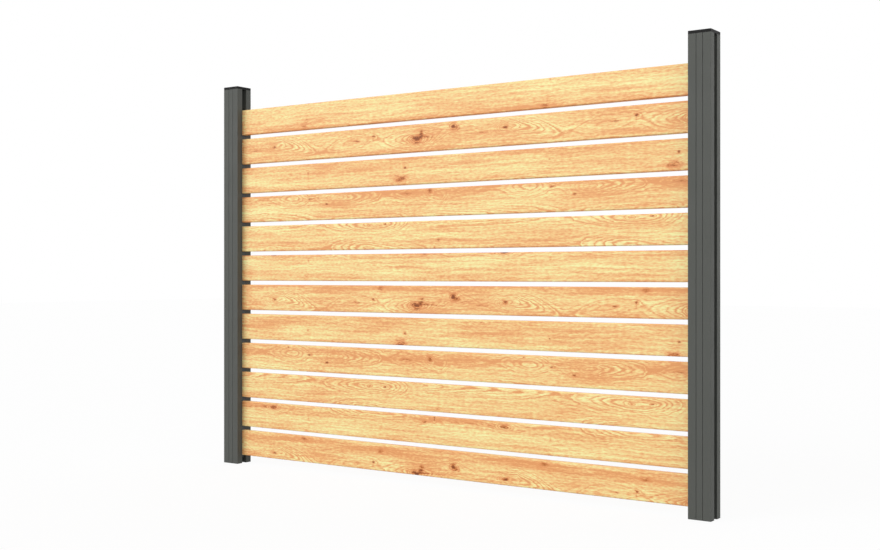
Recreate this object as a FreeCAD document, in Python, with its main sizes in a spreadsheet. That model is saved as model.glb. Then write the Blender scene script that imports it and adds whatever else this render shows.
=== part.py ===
import FreeCAD, Part
import os
import Sketcher

# One bay of an aluminium slatted fence: two slotted posts, twelve hollow slats held one above the
# other in the posts' facing slots, the spacers between them, clip-in cover strips and flat caps.
# Millimetres. The origin is the middle of the left post's foot. X runs along the fence to the
# right post, Y runs away from the front side and Z runs up.

SIZES = [
    ("post_width", 90, "outside width of a post, both ways"),
    ("post_length", 1788, "length of the post profile"),
    ("post_spacing", 2383, "from the middle of one post to the middle of the other"),
    ("post_wall", 2, "wall of the post profile"),
    ("post_corner_radius", 1, "rounding of the post's long corners"),
    ("slot_width", 27, "opening of each of the four slots"),
    ("slot_depth", 29.5, "from a post's face to the floor of its slot"),
    ("port_radius", 2.3, "bore of a screw port in the foot's end face"),
    ("port_wall", 1.7, "wall round a screw port"),
    ("port_spacing", 37, "between two neighbouring screw ports"),
    ("strip_joint", 1.6, "shadow joint each side of a cover strip"),
    ("strip_thickness", 2, "face of a cover strip"),
    ("leg_inset", 2.2, "from the slot's side to the leg of a cover strip"),
    ("leg_thickness", 1.4, "leg of a cover strip"),
    ("barb_start", 9, "from the face to the square side of the leg's barb"),
    ("barb_length", 6, "taper of the barb"),
    ("barb_clearance", 0.2, "between the barb and the slot's side"),
    ("cap_thickness", 12, "plate of a post cap"),
    ("cap_edge_radius", 1, "rounding of the cap's upper edge"),
    ("plug_width", 17, "plug of the cap in a corner cell of the post"),
    ("plug_depth", 22, "how far the plugs reach into the post"),
    ("plug_clearance", 0.3, "between a plug and the post's walls"),
    ("slat_height", 120, "face height of a slat"),
    ("slat_thickness", 25, "thickness of a slat"),
    ("slat_wall", 1.6, "wall and ribs of a slat"),
    ("slat_edge_radius", 5, "rounding of a slat's long edges"),
    ("slat_engagement", 23, "how far a slat's end reaches into the slot"),
    ("slat_gap", 19, "open gap between two slats"),
    ("ground_gap", 39, "from the foot to the lowest slat"),
    ("spacer_clearance", 0.25, "between a spacer and each side of the slot"),
    ("spacer_setback", 0.5, "from the post's face to the spacer's face"),
    ("spacer_wall", 2.5, "wall of the spacer"),
    ("seat_height", 12, "block under the end of the lowest slat"),
    ("seat_setback", 12, "from the post's face to the block's face"),
    ("cut_overrun", 5, "how far a cut starts outside the face that it opens"),
]
SLAT_COUNT = 12
CHAMBER_COUNT = 3

POST_HALF = "Sizes.post_width / 2"
SLOT_HALF = "Sizes.slot_width / 2"
SLOT_FLOOR = "(Sizes.post_width / 2 - Sizes.slot_depth)"
PITCH = "(Sizes.slat_height + Sizes.slat_gap)"
CHAMBER = f"((Sizes.slat_height - {CHAMBER_COUNT + 1} * Sizes.slat_wall) / {CHAMBER_COUNT})"

doc = FreeCAD.newDocument("SlattedFenceBay")
bodies = []


def make_sheet():
    """Write the driving dimensions, each with its alias and what it measures."""
    sheet = doc.addObject("Spreadsheet::Sheet", "Sizes")
    for row, (alias, value, meaning) in enumerate(SIZES, start=1):
        sheet.set(f"A{row}", alias)
        sheet.set(f"B{row}", str(value))
        sheet.set(f"C{row}", meaning)
        sheet.setAlias(f"B{row}", alias)
    doc.recompute()


def make_body(name):
    body = doc.addObject("PartDesign::Body", name)
    body.Label = name
    bodies.append(body)
    return body


def origin_feature(body, role):
    for feature in body.Origin.OriginFeatures:
        if feature.Role == role:
            return feature
    raise ValueError(role)


def make_sketch(body, name, role="XY_Plane"):
    sketch = body.newObject("Sketcher::SketchObject", name)
    sketch.AttachmentSupport = (origin_feature(body, role), [""])
    sketch.MapMode = "FlatFace"
    return sketch


def outline(sketch, corners):
    """Draw a closed outline; each corner is a pair of expressions, measured from the origin."""
    points = [
        FreeCAD.Vector(float(sketch.evalExpression(x)), float(sketch.evalExpression(y)), 0)
        for x, y in corners
    ]
    count = len(points)
    first = sketch.GeometryCount
    for index in range(count):
        sketch.addGeometry(Part.LineSegment(points[index], points[(index + 1) % count]), False)
    for index in range(count):
        line = first + index
        following = first + (index + 1) % count
        sketch.addConstraint(Sketcher.Constraint("Coincident", line, 2, following, 1))
    for index, (x, y) in enumerate(corners):
        for kind, value, text in (
            ("DistanceX", points[index].x, x),
            ("DistanceY", points[index].y, y),
        ):
            number = sketch.addConstraint(
                Sketcher.Constraint(kind, -1, 1, first + index, 1, value)
            )
            sketch.setExpression(f"Constraints[{number}]", text)


def rectangle(sketch, left, right, low, high):
    outline(sketch, [(left, low), (right, low), (right, high), (left, high)])


def circle(sketch, x, y, radius):
    """Draw a circle about a point; the point and the radius are expressions."""
    centre = FreeCAD.Vector(
        float(sketch.evalExpression(x)), float(sketch.evalExpression(y)), 0
    )
    size = float(sketch.evalExpression(radius))
    curve = sketch.addGeometry(Part.Circle(centre, FreeCAD.Vector(0, 0, 1), size), False)
    for kind, value, text in (("DistanceX", centre.x, x), ("DistanceY", centre.y, y)):
        number = sketch.addConstraint(Sketcher.Constraint(kind, -1, 1, curve, 3, value))
        sketch.setExpression(f"Constraints[{number}]", text)
    number = sketch.addConstraint(Sketcher.Constraint("Radius", curve, size))
    sketch.setExpression(f"Constraints[{number}]", radius)


def pad(body, sketch, name, length, downwards=False):
    feature = body.newObject("PartDesign::Pad", name)
    feature.Profile = sketch
    feature.setExpression("Length", length)
    feature.Reversed = downwards
    doc.recompute()
    return feature


def cut_through(body, sketch, name):
    """Cut the sketch's outline right through the body, both ways from its plane."""
    before = body.Shape.Volume
    feature = body.newObject("PartDesign::Pocket", name)
    feature.Profile = sketch
    feature.Type = "ThroughAll"
    feature.Midplane = True
    doc.recompute()
    if body.Shape.Volume >= before:
        raise RuntimeError(f"{name} cuts nothing")
    return feature


def around_post(body, feature, name):
    """Repeat a feature at the four quarter turns about the upright axis."""
    pattern = body.newObject("PartDesign::PolarPattern", name)
    pattern.Originals = [feature]
    pattern.Axis = (origin_feature(body, "Z_Axis"), [""])
    pattern.Angle = 360
    pattern.Occurrences = 4
    body.Tip = pattern
    doc.recompute()
    return pattern


def long_edges(shape, axis, wanted):
    """Name the straight edges along an axis whose middle passes a test."""
    names = []
    for number, edge in enumerate(shape.Edges, start=1):
        if edge.Curve.TypeId != "Part::GeomLine":
            continue
        direction = edge.tangentAt(edge.FirstParameter)
        if abs(abs(direction.dot(axis)) - 1) > 1e-6:
            continue
        if wanted(edge.BoundBox.Center):
            names.append(f"Edge{number}")
    return names


def round_edges(body, base, name, edges, radius):
    feature = body.newObject("PartDesign::Fillet", name)
    feature.Base = (base, edges)
    feature.setExpression("Radius", radius)
    body.Tip = feature
    doc.recompute()
    return feature


def place(body, x, y, z, turned=False):
    """Set a body down at a point given by expressions, turned half round Z where asked."""
    angle = 180 if turned else 0
    rotation = FreeCAD.Rotation(FreeCAD.Vector(0, 0, 1), angle)
    body.Placement = FreeCAD.Placement(FreeCAD.Vector(0, 0, 0), rotation)
    body.setExpression("Placement.Base.x", x)
    body.setExpression("Placement.Base.y", y)
    body.setExpression("Placement.Base.z", z)


def post(name, x):
    """A square profile of nine cells: four open slots, four closed corners and the core."""
    up = FreeCAD.Vector(0, 0, 1)
    body = make_body(name)

    blank = make_sketch(body, f"{name}_square")
    rectangle(blank, f"-{POST_HALF}", POST_HALF, f"-{POST_HALF}", POST_HALF)
    solid = pad(body, blank, f"{name}_blank", "Sizes.post_length")
    corners = long_edges(solid.Shape, up, lambda middle: True)
    round_edges(body, solid, f"{name}_corners", corners, "Sizes.post_corner_radius")

    slot = make_sketch(body, f"{name}_slot_outline")
    rectangle(
        slot, SLOT_FLOOR, f"{POST_HALF} + Sizes.cut_overrun", f"-{SLOT_HALF}", SLOT_HALF
    )
    around_post(body, cut_through(body, slot, f"{name}_slot"), f"{name}_slots")

    cell = make_sketch(body, f"{name}_cell_outline")
    inner = f"{SLOT_HALF} + Sizes.post_wall"
    outer = f"{POST_HALF} - Sizes.post_wall"
    rectangle(cell, inner, outer, inner, outer)
    around_post(body, cut_through(body, cell, f"{name}_cell"), f"{name}_cells")

    core = make_sketch(body, f"{name}_core_outline")
    reach = f"min({SLOT_FLOOR}; {SLOT_HALF} + Sizes.post_wall) - Sizes.post_wall"
    rectangle(core, f"-({reach})", reach, f"-({reach})", reach)
    cut_through(body, core, f"{name}_core")

    middle = "Sizes.port_spacing / 2"
    boss = make_sketch(body, f"{name}_port_outline")
    circle(boss, middle, middle, "Sizes.port_radius + Sizes.port_wall")
    tube = pad(body, boss, f"{name}_port", "Sizes.post_length")
    around_post(body, tube, f"{name}_ports")
    bore = make_sketch(body, f"{name}_bore_outline")
    circle(bore, middle, middle, "Sizes.port_radius")
    around_post(body, cut_through(body, bore, f"{name}_bore"), f"{name}_bores")

    place(body, x, "0", "0")


def cover_strip(name, x, on_back):
    """A clip-in strip, flush with the post's face, whose legs stand on the slot's floor."""
    body = make_body(name)
    side = f"({SLOT_HALF} - Sizes.strip_joint)"
    face = make_sketch(body, f"{name}_face_outline")
    rectangle(face, f"-{side}", side, "0", "Sizes.strip_thickness")
    pad(body, face, f"{name}_face", "Sizes.post_length")

    leg_side = f"({SLOT_HALF} - Sizes.leg_inset)"
    leg = make_sketch(body, f"{name}_leg_outline")
    outline(
        leg,
        [
            (f"{leg_side} - Sizes.leg_thickness", "Sizes.strip_thickness / 2"),
            (leg_side, "Sizes.strip_thickness / 2"),
            (leg_side, "Sizes.barb_start"),
            (f"{SLOT_HALF} - Sizes.barb_clearance", "Sizes.barb_start"),
            (leg_side, "Sizes.barb_start + Sizes.barb_length"),
            (leg_side, "Sizes.slot_depth"),
            (f"{leg_side} - Sizes.leg_thickness", "Sizes.slot_depth"),
        ],
    )
    right_leg = pad(body, leg, f"{name}_leg", "Sizes.post_length")
    legs = body.newObject("PartDesign::Mirrored", f"{name}_legs")
    legs.Originals = [right_leg]
    legs.MirrorPlane = (origin_feature(body, "YZ_Plane"), [""])
    body.Tip = legs
    doc.recompute()
    if on_back:
        place(body, x, POST_HALF, "0", turned=True)
    else:
        place(body, x, f"-{POST_HALF}", "0")


def cap(name, x):
    """A flat plate, flush with the post's faces, with a plug in each corner cell."""
    up = FreeCAD.Vector(0, 0, 1)
    body = make_body(name)
    plate = make_sketch(body, f"{name}_square")
    rectangle(plate, f"-{POST_HALF}", POST_HALF, f"-{POST_HALF}", POST_HALF)
    solid = pad(body, plate, f"{name}_plate", "Sizes.cap_thickness")
    corners = long_edges(solid.Shape, up, lambda middle: True)
    rounded = round_edges(body, solid, f"{name}_corners", corners, "Sizes.post_corner_radius")
    top = rounded.Shape.BoundBox.ZMax
    rim = [
        f"Edge{number}"
        for number, edge in enumerate(rounded.Shape.Edges, start=1)
        if edge.BoundBox.ZMin > top - 1e-4
    ]
    round_edges(body, rounded, f"{name}_rim", rim, "Sizes.cap_edge_radius")

    far = f"{POST_HALF} - Sizes.post_wall - Sizes.plug_clearance"
    near = f"{far} - Sizes.plug_width"
    plug = make_sketch(body, f"{name}_plug_outline")
    rectangle(plug, near, far, near, far)
    first = pad(body, plug, f"{name}_plug", "Sizes.plug_depth", downwards=True)
    around_post(body, first, f"{name}_plugs")
    place(body, x, "0", "Sizes.post_length")


def slat(name, number):
    """A hollow board with rounded long edges and level ribs, its ends in the two slots."""
    along = FreeCAD.Vector(1, 0, 0)
    body = make_body(name)
    half = "Sizes.slat_thickness / 2"
    length = f"(Sizes.post_spacing - Sizes.post_width + 2 * Sizes.slat_engagement)"
    section = make_sketch(body, f"{name}_section", "YZ_Plane")
    rectangle(section, f"-{half}", half, "0", "Sizes.slat_height")
    board = pad(body, section, f"{name}_board", length)
    edges = long_edges(board.Shape, along, lambda middle: True)
    round_edges(body, board, f"{name}_edges", edges, "Sizes.slat_edge_radius")

    side = f"({half} - Sizes.slat_wall)"
    chamber = make_sketch(body, f"{name}_chamber_outline", "YZ_Plane")
    rectangle(chamber, f"-{side}", side, "Sizes.slat_wall", f"Sizes.slat_wall + {CHAMBER}")
    lowest = cut_through(body, chamber, f"{name}_chamber")
    chambers = body.newObject("PartDesign::LinearPattern", f"{name}_chambers")
    chambers.Originals = [lowest]
    chambers.Direction = (origin_feature(body, "Z_Axis"), [""])
    chambers.setExpression("Length", f"{CHAMBER_COUNT - 1} * ({CHAMBER} + Sizes.slat_wall)")
    chambers.Occurrences = CHAMBER_COUNT
    body.Tip = chambers
    doc.recompute()

    box = chambers.Shape.BoundBox
    wall = body.evalExpression("Sizes.slat_wall")
    tolerance = 1e-3

    def in_end_corner(middle):
        inside = abs(abs(middle.y) - (box.YMax - wall)) < tolerance
        low = abs(middle.z - (box.ZMin + wall)) < tolerance
        high = abs(middle.z - (box.ZMax - wall)) < tolerance
        return inside and (low or high)

    hollow_edges = long_edges(chambers.Shape, along, in_end_corner)
    round_edges(
        body,
        chambers,
        f"{name}_hollow_edges",
        hollow_edges,
        "max(Sizes.slat_edge_radius - Sizes.slat_wall; Sizes.slat_wall / 4)",
    )
    place(
        body,
        f"{POST_HALF} - Sizes.slat_engagement",
        "0",
        f"Sizes.ground_gap + {number} * {PITCH}",
    )


def slot_block(name, on_right, setback, height, base):
    """A block on the slot's floor, hollowed from behind, that carries the end of a slat."""
    body = make_body(name)
    side = f"({SLOT_HALF} - Sizes.spacer_clearance)"
    front = f"{POST_HALF} - {setback}"
    section = make_sketch(body, f"{name}_plan")
    rectangle(section, SLOT_FLOOR, front, f"-{side}", side)
    pad(body, section, f"{name}_block", height)
    hollow = make_sketch(body, f"{name}_hollow_outline")
    rectangle(
        hollow,
        f"{SLOT_FLOOR} + Sizes.spacer_wall",
        f"{front} - Sizes.spacer_wall",
        f"-{side} + Sizes.spacer_wall",
        f"{side} - Sizes.spacer_wall",
    )
    cut_through(body, hollow, f"{name}_hollow")
    if on_right:
        place(body, "Sizes.post_spacing", "0", base, turned=True)
    else:
        place(body, "0", "0", base)


def check_and_export():
    """Stop on any failed object or bad solid; then write one STEP file for each piece."""
    doc.recompute()
    for thing in doc.Objects:
        if "Invalid" in thing.State or "Error" in thing.State:
            raise RuntimeError(f"{thing.Label} failed: {thing.State}")
    for body in bodies:
        shape = body.Shape
        if shape.isNull() or not shape.isValid() or len(shape.Solids) != 1:
            raise RuntimeError(f"{body.Label} is not one valid solid")
    os.makedirs("parts", exist_ok=True)
    for body in bodies:
        body.Shape.exportStep(os.path.join("parts", f"{body.Label}.step"))


make_sheet()
for side, x, on_right in (("left", "0", False), ("right", "Sizes.post_spacing", True)):
    post(f"{side}_post", x)
    cover_strip(f"{side}_front_strip", x, on_back=False)
    cover_strip(f"{side}_back_strip", x, on_back=True)
    cap(f"{side}_cap", x)
    slot_block(
        f"{side}_seat",
        on_right,
        "Sizes.seat_setback",
        "Sizes.seat_height",
        "Sizes.ground_gap - Sizes.seat_height",
    )
    for number in range(SLAT_COUNT - 1):
        slot_block(
            f"{side}_spacer_{number + 1:02d}",
            on_right,
            "Sizes.spacer_setback",
            "Sizes.slat_gap",
            f"Sizes.ground_gap + {number} * {PITCH} + Sizes.slat_height",
        )
for number in range(SLAT_COUNT):
    slat(f"slat_{number + 1:02d}", number)
check_and_export()
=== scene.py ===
import math

import bpy
import numpy as np
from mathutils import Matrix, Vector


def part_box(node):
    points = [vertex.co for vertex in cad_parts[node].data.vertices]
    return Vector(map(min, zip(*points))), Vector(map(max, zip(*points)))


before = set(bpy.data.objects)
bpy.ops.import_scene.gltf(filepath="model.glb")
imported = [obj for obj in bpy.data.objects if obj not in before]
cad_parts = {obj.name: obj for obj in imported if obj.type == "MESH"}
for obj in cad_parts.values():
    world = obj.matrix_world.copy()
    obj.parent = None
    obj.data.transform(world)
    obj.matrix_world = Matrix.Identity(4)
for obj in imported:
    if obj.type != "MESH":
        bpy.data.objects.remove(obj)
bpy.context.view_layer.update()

# Places and sizes in metres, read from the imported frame. X runs along the fence, Y away from its
# front side, Z up.
LEFT_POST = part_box("left_post")
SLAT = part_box("slat_01")
FRONT = LEFT_POST[0][1]
SLAT_FRONT = SLAT[0][1]
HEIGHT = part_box("left_cap")[1][2]

# The photograph's view: a level 50 mm lens at half the fence's height, right of the right post.
LENS = 50.0
SENSOR = 36.0
CAMERA_RIGHT = 2.3448 * HEIGHT
CAMERA_BACK = 2.3413 * HEIGHT
CAMERA_TURN = math.radians(35.02)


def tint(red, green, blue):
    """A colour given in display steps from 0 to 255, turned to the linear values of a shader."""
    steps = np.array([red, green, blue]) / 255.0
    linear = np.where(steps <= 0.04045, steps / 12.92, ((steps + 0.055) / 1.055) ** 2.4)
    return (*linear.tolist(), 1.0)


class Recipe:
    """The nodes of one material or world, with a short way to add and join them."""

    def __init__(self, owner):
        self.owner = owner
        owner.use_nodes = True
        self.tree = owner.node_tree
        self.tree.nodes.clear()

    def feed(self, socket, value):
        """Joins a socket to another one, or sets it to a plain value."""
        if isinstance(value, bpy.types.NodeSocket):
            self.tree.links.new(value, socket)
        else:
            socket.default_value = value

    def add(self, kind, inputs=None, **settings):
        """A new node with its settings made first and then its inputs fed."""
        node = self.tree.nodes.new(kind)
        for key, value in settings.items():
            setattr(node, key, value)
        for key, value in (inputs or {}).items():
            self.feed(node.inputs[key], value)
        return node

    def math(self, operation, *values, clamp=False):
        """One sum on plain numbers or sockets."""
        node = self.add("ShaderNodeMath", operation=operation, use_clamp=clamp)
        for socket, value in zip(node.inputs, values):
            self.feed(socket, value)
        return node.outputs[0]

    def vector(self, operation, *values, output="Vector"):
        """One sum on points."""
        node = self.add("ShaderNodeVectorMath", operation=operation)
        for socket, value in zip(node.inputs, values):
            self.feed(socket, value)
        return node.outputs[output]

    def noise(self, vector, scale, detail=2.0, roughness=0.5):
        """Noise from 0 to 1, mostly near 0.5."""
        node = self.add(
            "ShaderNodeTexNoise",
            {"Vector": vector, "Scale": scale, "Detail": detail, "Roughness": roughness},
        )
        return node.outputs["Fac"]

    def spread(self, value, low, high, to_low=0.0, to_high=1.0, smooth=False):
        """The value's range from low to high stretched to another range and held there."""
        kind = "SMOOTHSTEP" if smooth else "LINEAR"
        node = self.add(
            "ShaderNodeMapRange",
            {"Value": value, "From Min": low, "From Max": high,
             "To Min": to_low, "To Max": to_high},
            interpolation_type=kind,
        )
        return node.outputs["Result"]

    def ramp(self, value, stops, interpolation="LINEAR"):
        """A colour read from stops of place and colour."""
        node = self.add("ShaderNodeValToRGB", {"Fac": value})
        band = node.color_ramp
        band.interpolation = interpolation
        while len(band.elements) < len(stops):
            band.elements.new(0.5)
        for element, (position, colour) in zip(band.elements, stops):
            element.position = position
            element.color = colour
        return node.outputs["Color"]

    def shader(self, kind, inputs):
        """The light from a shader node."""
        return self.add(kind, inputs).outputs[0]

    def coat(self, base, rough, height, relief, sheen):
        """A coated surface: its colour, roughness, relief as strength and depth, and sheen."""
        strength, depth = relief
        bump = self.add(
            "ShaderNodeBump", {"Height": height, "Strength": strength, "Distance": depth}
        )
        coat = self.shader(
            "ShaderNodeBsdfPrincipled",
            {"Base Color": base, "Roughness": rough, "Normal": bump.outputs["Normal"],
             "Specular IOR Level": sheen},
        )
        return self.finish(coat)

    def blend(self, share, first, second):
        """The first shader where the share is nothing, the second where it is one."""
        node = self.add("ShaderNodeMixShader", {"Fac": share})
        self.tree.links.new(first, node.inputs[1])
        self.tree.links.new(second, node.inputs[2])
        return node.outputs[0]

    def finish(self, shader):
        """The material or world with the shader as its surface."""
        kind = "World" if isinstance(self.owner, bpy.types.World) else "Material"
        self.add("ShaderNodeOutput" + kind, {"Surface": shader})
        return self.owner


def object_place(recipe):
    """The point in the part's own metres, the same for every node."""
    return recipe.add("ShaderNodeTexCoord").outputs["Object"]


# Powder coat. Scales are in noise cells per metre.
COAT_CLOUDS = 9.0
COAT_SPECKS = 900.0
COAT_ORANGE_PEEL = 420.0
COAT_GRAIN_DEPTH = 0.0004
COAT_ROUGHNESS = (0.56, 0.66)
NOISE_LOW = 0.3
NOISE_HIGH = 0.7


def powder_coat(name, colour, spread_of_tone, grain, sheen):
    """A matt coat with a fine cured-powder grain, faint clouds of tone and a soft sheen."""
    recipe = Recipe(bpy.data.materials.new(name))
    place = object_place(recipe)
    clouds = recipe.noise(place, COAT_CLOUDS, detail=3.0)
    specks = recipe.noise(place, COAT_SPECKS, detail=2.0)
    half_clouds = recipe.math("MULTIPLY", clouds, 0.5)
    half_specks = recipe.math("MULTIPLY", specks, 0.5)
    tone = recipe.math("ADD", half_clouds, half_specks)
    low = [channel * (1.0 - spread_of_tone) for channel in colour[:3]] + [1.0]
    high = [channel * (1.0 + spread_of_tone) for channel in colour[:3]] + [1.0]
    base = recipe.ramp(tone, [(NOISE_LOW, low), (NOISE_HIGH, high)])
    orange_peel = recipe.noise(place, COAT_ORANGE_PEEL, detail=3.0, roughness=0.6)
    rough = recipe.spread(clouds, NOISE_LOW, NOISE_HIGH, *COAT_ROUGHNESS)
    return recipe.coat(base, rough, orange_peel, (grain, COAT_GRAIN_DEPTH), sheen)


# The oak print: one sheet that repeats along the fence and up it, as a printed decor does. Places
# on the sheet are metres from its left end and its foot.
PRINT_LENGTH = 1.2745
PRINT_HEIGHT = 0.718
PRINT_START = -0.03
PRINT_FOOT = -0.001

# Knots: along, up, half length, half height, darkness from 0 to 1 and rings bent round the knot.
KNOTS = (
    (0.171, 0.702, 0.016, 0.007, 0.35, 0.5),
    (0.490, 0.648, 0.004, 0.004, 0.62, 0.5),
    (1.045, 0.648, 0.006, 0.006, 0.95, 0.5),
    (1.020, 0.604, 0.028, 0.015, 0.24, 0.0),
    (1.020, 0.598, 0.018, 0.009, 0.36, 3.0),
    (1.000, 0.594, 0.010, 0.005, 0.30, 0.0),
    (1.038, 0.608, 0.007, 0.012, 0.36, 0.5),
    (1.003, 0.616, 0.020, 0.003, 0.25, 0.5),
    (0.369, 0.568, 0.006, 0.004, 0.67, 0.5),
    (0.498, 0.533, 0.008, 0.004, 0.92, 1.5),
    (0.522, 0.534, 0.030, 0.002, 0.35, 0.0),
    (0.603, 0.506, 0.008, 0.004, 0.95, 1.0),
    (1.051, 0.536, 0.026, 0.004, 0.35, 1.0),
    (1.177, 0.543, 0.010, 0.008, 0.55, 2.5),
    (0.850, 0.405, 0.008, 0.004, 0.67, 1.5),
    (0.936, 0.407, 0.007, 0.003, 0.77, 1.5),
    (1.220, 0.333, 0.009, 0.006, 0.47, 0.0),
    (0.277, 0.279, 0.017, 0.007, 0.85, 3.0),
    (0.222, 0.279, 0.012, 0.010, 0.35, 0.0),
    (0.110, 0.277, 0.120, 0.003, 0.35, 0.0),
    (0.493, 0.247, 0.005, 0.006, 0.50, 0.5),
    (0.467, 0.146, 0.016, 0.010, 0.40, 0.5),
    (0.480, 0.180, 0.009, 0.016, 0.28, 0.0),
    (0.910, 0.126, 0.016, 0.009, 0.38, 0.5),
    (0.023, 0.095, 0.012, 0.011, 1.00, 3.0),
    (0.040, 0.084, 0.018, 0.008, 0.55, 0.0),
    (0.085, 0.070, 0.030, 0.004, 0.35, 0.0),
    (0.160, 0.054, 0.040, 0.003, 0.30, 0.0),
    (0.282, 0.066, 0.012, 0.006, 1.00, 2.0),
    (0.871, 0.076, 0.008, 0.005, 1.00, 1.0),
    (0.869, 0.062, 0.002, 0.012, 0.45, 0.0),
    (0.780, 0.061, 0.026, 0.003, 0.55, 0.0),
    (1.112, 0.054, 0.036, 0.016, 0.24, 0.0),
    (1.110, 0.048, 0.016, 0.009, 0.64, 2.5),
    (1.092, 0.054, 0.013, 0.008, 0.55, 0.0),
    (1.130, 0.064, 0.011, 0.010, 0.65, 0.0),
    (1.106, 0.034, 0.020, 0.005, 0.45, 0.0),
    (1.136, 0.079, 0.013, 0.006, 0.55, 0.5),
    (1.160, 0.055, 0.026, 0.003, 0.50, 0.0),
    (1.215, 0.053, 0.036, 0.003, 0.30, 0.0),
    (1.149, 0.273, 0.010, 0.004, 0.60, 0.5),
    (1.201, 0.288, 0.003, 0.012, 0.60, 0.5),
)

# Hearts: lines along which the rings fold back, with places on each as along, up, rings and line
# strength. Tongues of grain point towards the end where the ring figure rises.
HEARTS = (
    (
        (0.000, 0.538, -1.5, 0.35),
        (0.100, 0.540, -0.9, 0.25),
        (0.254, 0.539, -0.3, 0.50),
        (0.395, 0.539, -3.7, 0.70),
        (0.470, 0.536, -1.5, 0.80),
        (0.510, 0.534, 0.0, 0.50),
        (0.590, 0.532, -2.2, 0.15),
        (0.665, 0.534, -5.9, 0.20),
        (0.720, 0.535, -5.1, 0.85),
        (0.900, 0.537, -1.0, 1.00),
        (0.950, 0.536, 0.0, 0.60),
        (1.052, 0.536, -1.5, 0.50),
        (1.110, 0.536, -0.4, 0.30),
        (1.180, 0.530, -1.9, 0.60),
        (1.240, 0.522, -3.0, 0.75),
        (1.2745, 0.538, -1.5, 0.35),
    ),
    (
        (0.000, 0.430, -4.7, 0.85),
        (0.200, 0.431, -3.3, 0.85),
        (0.420, 0.430, -1.3, 0.95),
        (0.520, 0.426, 0.0, 0.80),
        (0.552, 0.416, 0.0, 0.40),
        (0.600, 0.415, -0.6, 0.75),
        (0.720, 0.411, -3.0, 0.85),
        (0.860, 0.407, -5.2, 0.80),
        (0.980, 0.410, -3.7, 0.80),
        (1.056, 0.415, -0.4, 0.60),
        (1.072, 0.418, -0.3, 0.00),
        (1.122, 0.428, -6.2, 0.00),
        (1.140, 0.430, -6.1, 0.75),
        (1.2745, 0.430, -4.7, 0.85),
    ),
    (
        (0.000, 0.277, -0.7, 0.45),
        (0.200, 0.278, -0.7, 0.45),
        (0.277, 0.279, -1.5, 0.55),
        (0.400, 0.284, 0.0, 0.25),
        (0.590, 0.304, 0.0, 0.50),
        (0.640, 0.306, -0.7, 1.00),
        (0.790, 0.304, -4.4, 1.00),
        (0.900, 0.300, -4.6, 0.65),
        (1.090, 0.290, -2.2, 0.45),
        (1.190, 0.284, 0.0, 0.40),
        (1.2745, 0.277, -0.7, 0.45),
    ),
    (
        (0.000, 0.090, -1.1, 0.50),
        (0.110, 0.068, -1.1, 0.30),
        (0.190, 0.058, 0.0, 0.15),
        (0.260, 0.066, -3.7, 0.35),
        (0.320, 0.070, -5.6, 0.80),
        (0.350, 0.067, -5.0, 1.00),
        (0.450, 0.048, -2.5, 1.00),
        (0.545, 0.024, 0.0, 0.80),
        (0.590, 0.030, 0.0, 0.50),
        (0.690, 0.050, -1.8, 0.50),
        (0.780, 0.060, -2.0, 0.45),
        (0.885, 0.068, 0.0, 0.50),
        (0.920, 0.052, 0.0, 0.60),
        (1.060, 0.050, -3.7, 0.85),
        (1.120, 0.048, -4.4, 0.90),
        (1.190, 0.060, -3.0, 0.60),
        (1.2745, 0.090, -1.1, 0.50),
    ),
)

# The rings' width, the rounding of their fold over a heart and the reach of a heart's figure, in
# metres, and over how many rings two hearts blend where they meet. The range is the most rings that
# a figure rises by.
RING_WIDTH = 0.021
HEART_ROUNDING = 0.009
FIGURE_REACH = 0.044
HEARTS_BLEND = 1.5
RING_RANGE = 12.0

# Patches of tone: along, up, half length, half height and how much lighter (+) or redder (-).
PATCHES = (
    (0.30, 0.685, 0.60, 0.016, -0.09),
    (0.10, 0.655, 0.14, 0.012, -0.09),
    (0.40, 0.655, 0.10, 0.020, 0.12),
    (0.25, 0.612, 0.34, 0.016, 0.16),
    (0.95, 0.625, 0.30, 0.020, 0.09),
    (1.20, 0.650, 0.20, 0.030, 0.07),
    (0.30, 0.553, 0.40, 0.012, -0.16),
    (0.05, 0.530, 0.20, 0.018, -0.16),
    (0.20, 0.480, 0.34, 0.026, 0.12),
    (0.95, 0.470, 0.30, 0.014, 0.07),
    (0.70, 0.500, 0.12, 0.020, -0.18),
    (1.05, 0.540, 0.22, 0.026, -0.18),
    (1.20, 0.470, 0.16, 0.020, 0.04),
    (0.80, 0.550, 0.20, 0.016, -0.16),
    (0.25, 0.375, 0.30, 0.034, 0.08),
    (0.66, 0.400, 0.10, 0.020, 0.12),
    (0.95, 0.350, 0.40, 0.018, 0.10),
    (0.30, 0.330, 0.40, 0.010, -0.05),
    (0.10, 0.286, 0.30, 0.010, -0.18),
    (0.50, 0.270, 0.20, 0.016, -0.05),
    (0.15, 0.235, 0.30, 0.026, 0.10),
    (0.65, 0.215, 0.36, 0.040, 0.16),
    (1.10, 0.200, 0.24, 0.030, 0.10),
    (1.16, 0.280, 0.16, 0.016, -0.18),
    (0.40, 0.140, 0.34, 0.012, -0.23),
    (0.95, 0.125, 0.34, 0.016, -0.23),
    (0.20, 0.090, 0.24, 0.016, 0.05),
    (0.10, 0.045, 0.16, 0.016, -0.08),
    (0.20, 0.012, 0.30, 0.010, -0.10),
    (0.66, 0.090, 0.20, 0.014, 0.03),
    (0.94, 0.052, 0.05, 0.020, 0.13),
    (1.15, 0.050, 0.14, 0.050, -0.16),
    (0.70, 0.020, 0.30, 0.010, -0.07),
)

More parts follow.
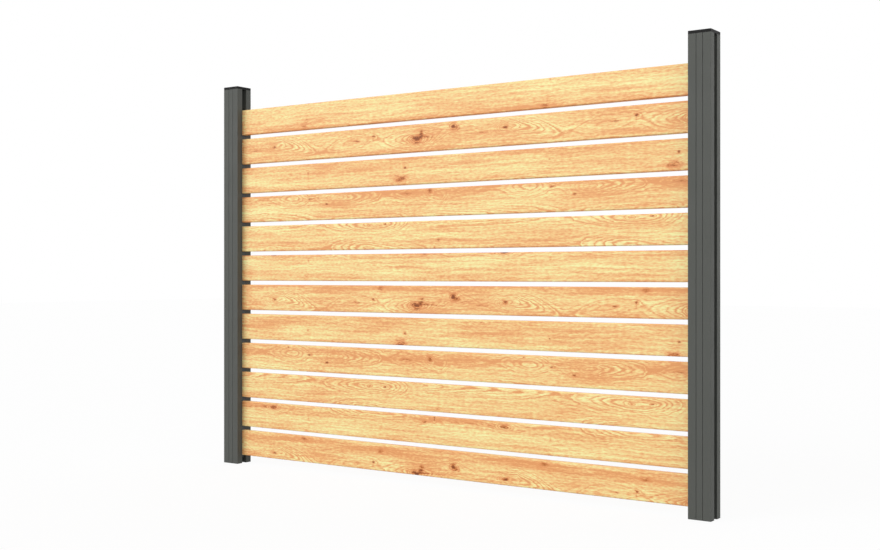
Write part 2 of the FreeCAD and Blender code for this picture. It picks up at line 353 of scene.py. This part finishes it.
# Noise in the print: scale along and up in cells per metre, detail and roughness.
SLOW_WAVER = (3.0, 9.0, 1.0, 0.5)
QUICK_WAVER = (24.0, 60.0, 2.0, 0.5)
RAGGED_LINES = (22.0, 170.0, 3.0, 0.6)
STREAKS = (2.8, 95.0, 3.0, 0.55)
FIBRES = (16.0, 360.0, 2.0, 0.6)
CLOUDS = (2.5, 18.0, 2.0, 0.5)
MOTTLE = (55.0, 170.0, 2.0, 0.5)
KNOT_CRACKS = (95.0, 170.0, 3.0, 0.7)
PORES = (70.0, 1500.0, 1.0, 0.5)

# How far the wavers push a line up or down, in metres.
SLOW_PUSH = 0.010
QUICK_PUSH = 0.005

# Tone runs from 0, the heart of a knot, to 1, the palest early wood. These swing it.
MIDDLE_TONE = 0.61
STREAK_SWING = 0.46
FIBRE_SWING = 0.40
CLOUD_SWING = 0.28
MOTTLE_SWING = 0.40
LINE_SWING = 0.72
KNOT_HALO = -0.05
KNOT_SWING = -0.58
PORE_SWING = -0.12

# Grain lines. The raggedness and the uneven spacing are in rings. The balance is the mean of the
# line pattern, taken off so that lines leave the mean tone as it is.
RAGGED_SWING = 0.42
SPACING_SWING = 0.45
SPACING_CHANGE = 0.9
LINE_SHARPNESS = 2.5
LINE_BALANCE = 0.31
FAINTEST_LINES = 0.15

# Weak and strong years: how fast they change from ring to ring, the noise they are read from and
# the strength of their lines.
YEAR_CHANGE = 1.3
WEAK_YEAR = 0.32
STRONG_YEAR = 0.68
YEAR_STRENGTHS = (0.3, 1.6)

# Without knots and pores the tone is held softly above this.
DARKEST_GRAIN = 0.39
DARKEST_GRAIN_ROUNDING = 0.14

# Knots: how far the grain is lifted for each ring bent, in metres, how far the bend reaches in
# sizes of the knot, and how cracks break the knot up.
KNOT_LIFT = 0.004
BEND_REACH = math.sqrt(6.0)
CRACK_CONTRAST = 2.6
CRACK_START = -0.35

# Pores show where their noise passes from the edge value to the heart value.
PORE_EDGE = 0.62
PORE_HEART = 0.72

# The satin coat over the print. Its relief is given as strength and depth in metres, and the
# fibres' and pores' shares in it follow.
FILM_ROUGHNESS = (0.46, 0.56)
FILM_SHEEN = 0.3
FILM_RELIEF = (0.15, 0.0003)
FIBRE_RELIEF = 0.5
PORE_RELIEF = -0.6

# Colours of the print from the heart of a knot to the palest early wood.
WOOD_COLOURS = (
    (0.00, tint(126, 62, 14)),
    (0.16, tint(187, 105, 46)),
    (0.32, tint(223, 144, 86)),
    (0.46, tint(237, 171, 110)),
    (0.60, tint(243, 195, 131)),
    (0.76, tint(245, 215, 148)),
    (0.92, tint(247, 233, 164)),
    (1.00, tint(249, 241, 176)),
)


def axes(recipe, vector):
    """The three parts of a vector as a list of sockets."""
    return list(recipe.add("ShaderNodeSeparateXYZ", {"Vector": vector}).outputs)


def grain_noise(recipe, spot, kind):
    """Noise drawn out along the grain, as one of the kinds above gives it."""
    along, up, detail, roughness = kind
    stretched = recipe.vector("MULTIPLY", spot, (along, up, 1.0))
    return recipe.noise(stretched, 1.0, detail=detail, roughness=roughness)


def swing(recipe, value, reach):
    """Noise or a share about 0.5 turned to a swing of plus or minus reach about nothing."""
    return recipe.math("MULTIPLY_ADD", value, 2 * reach, -reach)


def film_spot(recipe):
    """The point on the unrolled film: along the fence, and up plus the way through the board."""
    along, through, up = axes(recipe, object_place(recipe))
    over = recipe.math("SUBTRACT", through, SLAT_FRONT)
    up = recipe.math("ADD", up, over)
    return recipe.add("ShaderNodeCombineXYZ", {"X": along, "Y": up}).outputs["Vector"]


def waver(recipe, spot):
    """The spot pushed up and down by slow noise, so that lines run as wood does."""
    slow = grain_noise(recipe, spot, SLOW_WAVER)
    quick = grain_noise(recipe, spot, QUICK_WAVER)
    push = recipe.math("ADD", swing(recipe, slow, SLOW_PUSH), swing(recipe, quick, QUICK_PUSH))
    shift = recipe.add("ShaderNodeCombineXYZ", {"Y": push}).outputs["Vector"]
    return recipe.vector("ADD", spot, shift)


def on_sheet(recipe, spot):
    """The spot's place on the one sheet of print that repeats."""
    start = recipe.vector("SUBTRACT", spot, (PRINT_START, PRINT_FOOT, 0.0))
    return recipe.vector("WRAP", start, (PRINT_LENGTH, PRINT_HEIGHT, 1.0), (0.0, 0.0, 0.0))


def bell(recipe, squared, reach=1.0):
    """A bell curve: e to the minus of the squared distance over the squared reach."""
    return recipe.math("POWER", math.exp(-1.0 / reach ** 2), squared)


def knot_fields(recipe, place):
    """How dark the knots make a place, and the rings they bend round themselves.

    Each knot is a bell, e to the minus of its squared distance. The bend is a wider bell.
    """
    dark = 0.0
    bend = 0.0
    for along, up, half_length, half_height, darkness, rings in KNOTS:
        across = (1.0 / half_length, 1.0 / half_height, 0.0)
        centre = (-along / half_length, -up / half_height, 0.0)
        offset = recipe.vector("MULTIPLY_ADD", place, across, centre)
        squared = recipe.vector("DOT_PRODUCT", offset, offset, output="Value")
        dark = recipe.math("MULTIPLY_ADD", bell(recipe, squared), darkness, dark)
        if rings:
            wide = bell(recipe, squared, BEND_REACH)
            bend = recipe.math("MULTIPLY_ADD", wide, rings, bend)
    return dark, bend


def heart_field(recipe, share, up, heart):
    """Rings about one heart line and how strongly they show.

    Rings = distance from the line over the ring width, plus the figure's own rings times a bell
    across it, so that contours are nested tongues. The heart's values are read from a ramp along
    the sheet, which holds nothing below zero, so its rings are one plus their share of the range.
    """
    stops = []
    for along, height, rings, strength in heart:
        colour = (height, 1.0 + rings / RING_RANGE, strength, 1.0)
        stops.append((along / PRINT_LENGTH, colour))
    read = recipe.add("ShaderNodeSeparateColor", {"Color": recipe.ramp(share, stops, "CARDINAL")})
    height, rings, strength = list(read.outputs)
    offset = recipe.math("SUBTRACT", up, height)
    offset = recipe.math("WRAP", offset, PRINT_HEIGHT / 2, -PRINT_HEIGHT / 2)
    offset = recipe.math("DIVIDE", offset, FIGURE_REACH)
    squared = recipe.math("MULTIPLY", offset, offset)
    rounded = recipe.math("ADD", squared, (HEART_ROUNDING / FIGURE_REACH) ** 2)
    away = recipe.math("MULTIPLY", recipe.math("SQRT", rounded), FIGURE_REACH / RING_WIDTH)
    near = bell(recipe, squared)
    figure = recipe.math("MULTIPLY_ADD", rings, RING_RANGE, -RING_RANGE)
    field = recipe.math("MULTIPLY_ADD", figure, near, away)
    return field, recipe.math("MULTIPLY", near, strength)


def growth_rings(recipe, place):
    """The ring count over the whole sheet and how strongly its lines show."""
    along, up, _ = axes(recipe, place)
    share = recipe.math("DIVIDE", along, PRINT_LENGTH)
    rings = None
    shown = None
    for heart in HEARTS:
        field, strength = heart_field(recipe, share, up, heart)
        if rings is None:
            rings, shown = field, strength
        else:
            rings = recipe.math("SMOOTH_MIN", rings, field, HEARTS_BLEND)
            shown = recipe.math("MAXIMUM", shown, strength)
    return rings, shown


def yearly(recipe, rings, scale):
    """Noise that keeps to a ring and changes from one ring to the next."""
    node = recipe.add(
        "ShaderNodeTexNoise", {"W": rings, "Scale": scale, "Detail": 1.0}, noise_dimensions="1D"
    )
    return node.outputs["Fac"]


def crosses_edge(centre, reach, size):
    """Whether a bell is still felt past either end of the sheet."""
    return centre < 2 * reach or centre > size - 2 * reach


def tone_patches(recipe, place):
    """The slow change of tone over the sheet: the sum of the patches' bells."""
    tone = 0.0
    for along, up, half_length, half_height, strength in PATCHES:
        offset = recipe.vector("SUBTRACT", place, (along, up, 0.0))
        past_end = crosses_edge(along, half_length, PRINT_LENGTH)
        past_foot = crosses_edge(up, half_height, PRINT_HEIGHT)
        if past_end or past_foot:
            high = (PRINT_LENGTH / 2, PRINT_HEIGHT / 2, 1.0)
            low = (-PRINT_LENGTH / 2, -PRINT_HEIGHT / 2, 0.0)
            offset = recipe.vector("WRAP", offset, high, low)
        offset = recipe.vector("MULTIPLY", offset, (1.0 / half_length, 1.0 / half_height, 0.0))
        squared = recipe.vector("DOT_PRODUCT", offset, offset, output="Value")
        tone = recipe.math("MULTIPLY_ADD", bell(recipe, squared), strength, tone)
    return tone


def line_pattern(recipe, flat, rings, shown):
    """How much the grain lines change the tone: dark at each whole ring, light between.

    The lines are ragged, unevenly spaced and stronger in some years than in others.
    """
    ragged = grain_noise(recipe, flat, RAGGED_LINES)
    rings = recipe.math("ADD", rings, swing(recipe, ragged, RAGGED_SWING))
    year = yearly(recipe, rings, YEAR_CHANGE)
    strength = recipe.spread(year, WEAK_YEAR, STRONG_YEAR, *YEAR_STRENGTHS)
    spacing = yearly(recipe, rings, SPACING_CHANGE)
    rings = recipe.math("ADD", rings, swing(recipe, spacing, SPACING_SWING))
    wave = recipe.math("MULTIPLY", recipe.math("PINGPONG", rings, 0.5), 2.0)
    line = recipe.math("POWER", wave, LINE_SHARPNESS)
    shown = recipe.math("MAXIMUM", shown, FAINTEST_LINES)
    depth = recipe.math("MULTIPLY", recipe.math("SUBTRACT", LINE_BALANCE, line), shown)
    return recipe.math("MULTIPLY", depth, strength)


def knot_darkness(recipe, flat, dark):
    """The knots' darkness broken up by cracks."""
    cracks = grain_noise(recipe, flat, KNOT_CRACKS)
    share = recipe.math("MULTIPLY_ADD", cracks, CRACK_CONTRAST, CRACK_START)
    return recipe.math("MULTIPLY", recipe.math("MINIMUM", dark, 1.0), share)


def oak_film(name):
    """Printed oak on the slats: streaks, flame figures, knots and pores under a satin coat."""
    recipe = Recipe(bpy.data.materials.new(name))
    flat = film_spot(recipe)
    spot = waver(recipe, flat)
    place = on_sheet(recipe, spot)

    dark, bend = knot_fields(recipe, place)
    rings, shown = growth_rings(recipe, place)
    rings = recipe.math("SUBTRACT", rings, bend)
    lines = line_pattern(recipe, flat, rings, shown)

    along, up, _ = axes(recipe, spot)
    lifted = recipe.math("MULTIPLY_ADD", bend, KNOT_LIFT, up)
    grain = recipe.add("ShaderNodeCombineXYZ", {"X": along, "Y": lifted}).outputs["Vector"]
    streak = grain_noise(recipe, grain, STREAKS)
    fibre = grain_noise(recipe, grain, FIBRES)
    cloud = grain_noise(recipe, flat, CLOUDS)
    mottle = grain_noise(recipe, flat, MOTTLE)
    pore = recipe.spread(grain_noise(recipe, flat, PORES), PORE_EDGE, PORE_HEART, smooth=True)

    tone = recipe.math("ADD", swing(recipe, streak, STREAK_SWING), MIDDLE_TONE)
    for value, reach in ((fibre, FIBRE_SWING), (cloud, CLOUD_SWING), (mottle, MOTTLE_SWING)):
        tone = recipe.math("ADD", tone, swing(recipe, value, reach))
    tone = recipe.math("ADD", tone, tone_patches(recipe, place))
    tone = recipe.math("MULTIPLY_ADD", lines, LINE_SWING, tone)
    tone = recipe.math("MULTIPLY_ADD", bend, KNOT_HALO, tone)
    tone = recipe.math("SMOOTH_MAX", tone, DARKEST_GRAIN, DARKEST_GRAIN_ROUNDING)
    tone = recipe.math("MULTIPLY_ADD", knot_darkness(recipe, flat, dark), KNOT_SWING, tone)
    tone = recipe.math("MULTIPLY_ADD", pore, PORE_SWING, tone)
    base = recipe.ramp(tone, WOOD_COLOURS)

    pits = recipe.math("MULTIPLY", pore, PORE_RELIEF)
    height = recipe.math("MULTIPLY_ADD", fibre, FIBRE_RELIEF, pits)
    rough = recipe.spread(streak, NOISE_LOW, NOISE_HIGH, *FILM_ROUGHNESS)
    return recipe.coat(base, rough, height, FILM_RELIEF, FILM_SHEEN)


POST_COAT = powder_coat(
    "anthracite_powder_coat", tint(78, 80, 76), spread_of_tone=0.06, grain=0.25, sheen=0.28
)
CAP_COAT = powder_coat(
    "black_powder_coat", tint(18, 18, 18), spread_of_tone=0.08, grain=0.25, sheen=0.15
)
SPACER_PLASTIC = powder_coat(
    "grey_moulded_plastic", tint(72, 77, 78), spread_of_tone=0.04, grain=0.1, sheen=0.28
)
FILM = oak_film("light_oak_film")


def dress(node, material):
    """The material in each slot of a CAD node."""
    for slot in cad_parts[node].material_slots:
        slot.material = material


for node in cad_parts:
    if node.startswith("slat_"):
        dress(node, FILM)
    elif node.endswith("_cap"):
        dress(node, CAP_COAT)
    elif "_spacer_" in node or node.endswith("_seat"):
        dress(node, SPACER_PLASTIC)
    else:
        dress(node, POST_COAT)


# The room: a pale floor and an even pale sky. The floor shows as a mix of plain white and of white
# under the lamps, which keeps the fence's shadow, and throws less light back than it shows.
FLOOR_SIZE = 60.0
FLOOR_BOUNCE = 0.28
FLOOR_GLOW = 0.93
SKY_LIGHT = 0.42
WHITE = (1.0, 1.0, 1.0, 1.0)

# Lamps: strength, softness, height above level and turn from straight ahead, angles in degrees.
LAMPS = {
    "soft_key": (1.74, 50.0, 17.0, -35.0),
    "side_fill": (0.98, 36.0, 8.0, 74.0),
    "front_wash": (1.06, 110.0, 5.0, 0.0),
    "back_wash": (1.30, 100.0, 8.0, 180.0),
}


def seen_directly(recipe):
    """One where a ray comes from the camera or off a gloss or glass surface, else nothing."""
    path = recipe.add("ShaderNodeLightPath").outputs
    seen = recipe.math("ADD", path["Is Camera Ray"], path["Is Glossy Ray"], clamp=True)
    return recipe.math("ADD", seen, path["Is Transmission Ray"], clamp=True)


def make_floor():
    """A level square about the origin."""
    half = FLOOR_SIZE / 2
    corners = [(-half, -half, 0), (half, -half, 0), (half, half, 0), (-half, half, 0)]
    mesh = bpy.data.meshes.new("floor")
    mesh.from_pydata(corners, [], [(0, 1, 2, 3)])
    floor = bpy.data.objects.new("floor", mesh)
    bpy.context.scene.collection.objects.link(floor)
    recipe = Recipe(bpy.data.materials.new("pale_floor"))
    dim = (FLOOR_BOUNCE, FLOOR_BOUNCE, FLOOR_BOUNCE, 1.0)
    bounce = recipe.shader("ShaderNodeBsdfDiffuse", {"Color": dim})
    shaded = recipe.shader("ShaderNodeBsdfDiffuse", {"Color": WHITE})
    glow = recipe.shader("ShaderNodeEmission", {"Color": WHITE, "Strength": 1.0})
    shown = recipe.blend(FLOOR_GLOW, shaded, glow)
    mesh.materials.append(recipe.finish(recipe.blend(seen_directly(recipe), bounce, shown)))


def make_sky():
    """A world that looks white and lights the fence evenly from all round."""
    recipe = Recipe(bpy.data.worlds.new("pale_studio"))
    lighting = recipe.shader("ShaderNodeBackground", {"Color": WHITE, "Strength": SKY_LIGHT})
    backdrop = recipe.shader("ShaderNodeBackground", {"Color": WHITE, "Strength": 1.0})
    sky = recipe.finish(recipe.blend(seen_directly(recipe), lighting, backdrop))
    bpy.context.scene.world = sky


def make_lamp(name):
    """A soft lamp that shines evenly from far away."""
    strength, softness, height, turn = LAMPS[name]
    lamp = bpy.data.lights.new(name, "SUN")
    lamp.energy = strength
    lamp.angle = math.radians(softness)
    lamp_object = bpy.data.objects.new(name, lamp)
    lamp_object.rotation_euler = (math.radians(90 - height), 0, math.radians(turn))
    bpy.context.scene.collection.objects.link(lamp_object)


def make_camera():
    """The photograph's view, measured from the left post's front left edge."""
    data = bpy.data.cameras.new("view")
    data.lens = LENS
    data.sensor_width = SENSOR
    camera = bpy.data.objects.new("view", data)
    camera.location = (LEFT_POST[0][0] + CAMERA_RIGHT, FRONT - CAMERA_BACK, HEIGHT / 2)
    camera.rotation_euler = (math.radians(90), 0, CAMERA_TURN)
    bpy.context.scene.collection.objects.link(camera)
    bpy.context.scene.camera = camera


make_camera()
make_floor()
make_sky()
for lamp in LAMPS:
    make_lamp(lamp)
bpy.context.scene.view_settings.view_transform = "Standard"
